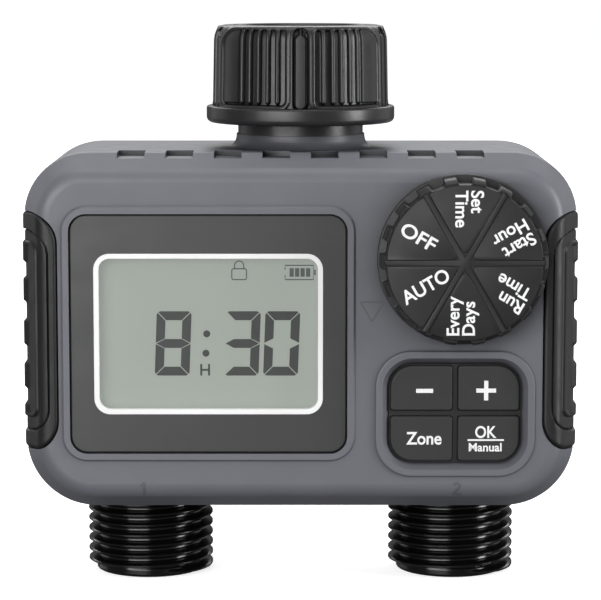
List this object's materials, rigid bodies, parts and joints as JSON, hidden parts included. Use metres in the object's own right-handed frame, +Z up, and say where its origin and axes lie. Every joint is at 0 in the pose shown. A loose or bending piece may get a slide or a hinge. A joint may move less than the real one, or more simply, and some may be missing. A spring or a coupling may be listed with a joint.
{
  "type": "irrigation timer",
  "caption": "Battery hose timer: swivel tap nut above a rounded housing with display, mode dial, keypad and side grips, and threaded hose outlets below.",
  "frame": {"origin": "centre of the tap washer's sealing face, on the inlet axis", "axes": "+Z up along the inlet, +X right as seen from the front, -Y out of the front face"},
  "size_m": [0.115, 0.0613, 0.1173],
  "materials": {
    "housing_plastic": "fine satin texture, blue-grey",
    "black_rubber": "soft matt moulded rubber",
    "bezel_plastic": "smooth satin dark grey",
    "light_ring": "white printed ring",
    "clear_lens": "clear polished plastic",
    "lcd_glass": "grey-green reflective display",
    "circuit_board": "green solder mask",
    "black_plastic": "satin black mouldings",
    "key_rubber": "soft satin key caps",
    "valve_plastic": "natural filled nylon",
    "strainer_plastic": "pale moulded strainer",
    "steel": "bright plated steel",
    "coil_winding": "varnished copper winding",
    "wire_insulation": "red insulation",
    "cell_jacket": "printed cell jacket, plain"
  },
  "bodies": {
    "root": {"battery_cells": "cell_jacket", "battery_contacts": "steel", "battery_leads": "wire_insulation", "battery_springs": "steel", "board_screws": "steel", "bonnet_1": "valve_plastic", "bonnet_2": "valve_plastic", "bonnet_screws": "steel", "diaphragm_1": "black_rubber", "diaphragm_2": "black_rubber", "display_bezel": "bezel_plastic", "display_frame": "light_ring", "display_window": "clear_lens", "door_hinge_pin": "steel", "front_shell": "housing_plastic", "hose_washer": "black_rubber", "housing_gasket": "black_rubber", "housing_screws": "steel", "inlet_filter": "strainer_plastic", "inlet_manifold": "valve_plastic", "inlet_neck": "black_plastic", "inlet_o_ring": "black_rubber", "inlet_tailpiece": "black_plastic", "key_switches": "black_plastic", "keypad_web": "black_rubber", "lcd_connector": "black_rubber", "lcd_panel": "lcd_glass", "left_grip": "black_rubber", "main_pcb": "circuit_board", "outlet_o_ring_1": "black_rubber", "outlet_o_ring_2": "black_rubber", "outlet_spigot_1": "black_plastic", "outlet_spigot_2": "black_plastic", "plunger_spring_1": "steel", "plunger_spring_2": "steel", "rear_shell": "housing_plastic", "right_grip": "black_rubber", "rotary_switch": "black_plastic", "solenoid_coil_1": "coil_winding", "solenoid_coil_2": "coil_winding", "solenoid_yoke_1": "steel", "solenoid_yoke_2": "steel", "valve_body_1": "valve_plastic", "valve_body_2": "valve_plastic", "valve_leads": "wire_insulation"},
    "inlet_nut": {"inlet_nut": "black_plastic"},
    "mode_dial": {"mode_dial": "black_plastic", "dial_shaft": "steel", "dial_o_ring": "black_rubber"},
    "minus_key": {"minus_key": "key_rubber"},
    "plus_key": {"plus_key": "key_rubber"},
    "zone_key": {"zone_key": "key_rubber"},
    "ok_key": {"ok_key": "key_rubber"},
    "battery_door": {"battery_door": "housing_plastic", "door_seal": "black_rubber"},
    "plunger_1": {"plunger_1": "steel"},
    "plunger_2": {"plunger_2": "steel"},
    "poppet_1": {"poppet_1": "valve_plastic"},
    "poppet_2": {"poppet_2": "valve_plastic"}
  },
  "joints": [
    {"name": "nut_spin", "type": "hinge", "parent": "root", "child": "inlet_nut", "pos_m": [0, 0, 0], "axis": [0, 0, 1], "continuous": true},
    {"name": "dial_turn", "type": "hinge", "parent": "root", "child": "mode_dial", "pos_m": [0.0332, -0.0345, -0.0367], "axis": [0, 1, 0], "continuous": true},
    {"name": "door_swing", "type": "hinge", "parent": "root", "child": "battery_door", "pos_m": [-0.0213, 0.0252, -0.0548], "axis": [0, 0, 1], "range_deg": [0, 120]},
    {"name": "minus_press", "type": "slide", "parent": "root", "child": "minus_key", "axis": [0, 1, 0], "range_m": [0, 0.001]},
    {"name": "plus_press", "type": "slide", "parent": "root", "child": "plus_key", "axis": [0, 1, 0], "range_m": [0, 0.001]},
    {"name": "zone_press", "type": "slide", "parent": "root", "child": "zone_key", "axis": [0, 1, 0], "range_m": [0, 0.001]},
    {"name": "ok_press", "type": "slide", "parent": "root", "child": "ok_key", "axis": [0, 1, 0], "range_m": [0, 0.001]},
    {"name": "plunger_lift_1", "type": "slide", "parent": "root", "child": "plunger_1", "axis": [0, 0, 1], "range_m": [0, 0.002], "deforming": ["plunger_spring_1"]},
    {"name": "poppet_lift_1", "type": "slide", "parent": "root", "child": "poppet_1", "axis": [0, 0, 1], "range_m": [0, 0.002], "deforming": ["diaphragm_1"]},
    {"name": "plunger_lift_2", "type": "slide", "parent": "root", "child": "plunger_2", "axis": [0, 0, 1], "range_m": [0, 0.002], "deforming": ["plunger_spring_2"]},
    {"name": "poppet_lift_2", "type": "slide", "parent": "root", "child": "poppet_2", "axis": [0, 0, 1], "range_m": [0, 0.002], "deforming": ["diaphragm_2"]}
  ],
  "couplings": [
    {"joint": "poppet_lift_1", "follows": "plunger_lift_1", "ratio": 1},
    {"joint": "poppet_lift_2", "follows": "plunger_lift_2", "ratio": 1}
  ]
}
